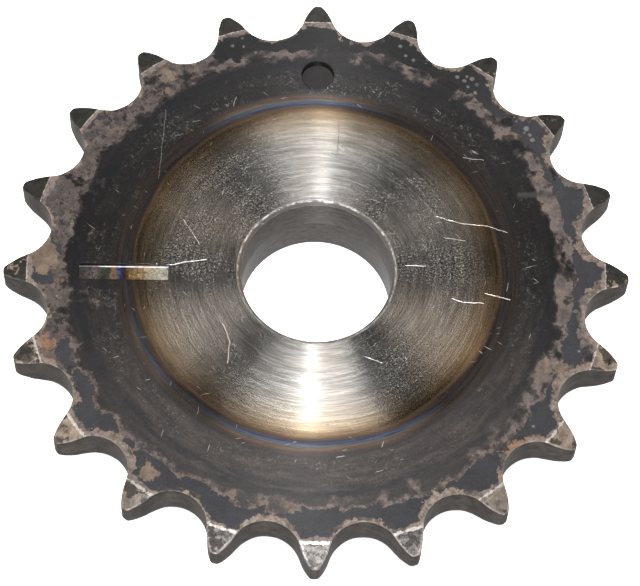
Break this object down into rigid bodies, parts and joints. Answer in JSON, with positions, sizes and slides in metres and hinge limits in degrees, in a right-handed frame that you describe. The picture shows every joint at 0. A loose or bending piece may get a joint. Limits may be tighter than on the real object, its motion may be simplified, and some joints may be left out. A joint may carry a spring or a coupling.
{
  "type": "roller chain sprocket",
  "caption": "Toothed steel plate that drives a roller chain, with a plain round bore, a short hub welded to its back, a shallow blind hole and a shallow slot on its turned face.",
  "frame": {"origin": "on the sprocket's axis, on the hub's rear face", "axes": "+Z along the sprocket's axis, out of the turned front face; a tooth is centred on +Y"},
  "size_m": [0.085, 0.085, 0.012],
  "materials": {
    "turned_steel": "turned bright inside, heat-tinted ring, dark flaking scale on the teeth",
    "hub_steel": "turned, dull",
    "weld_metal": "as-welded bead"
  },
  "bodies": {
    "root": {"toothed_plate": "turned_steel", "rear_hub": "hub_steel", "weld_fillet": "weld_metal"}
  },
  "joints": []
}
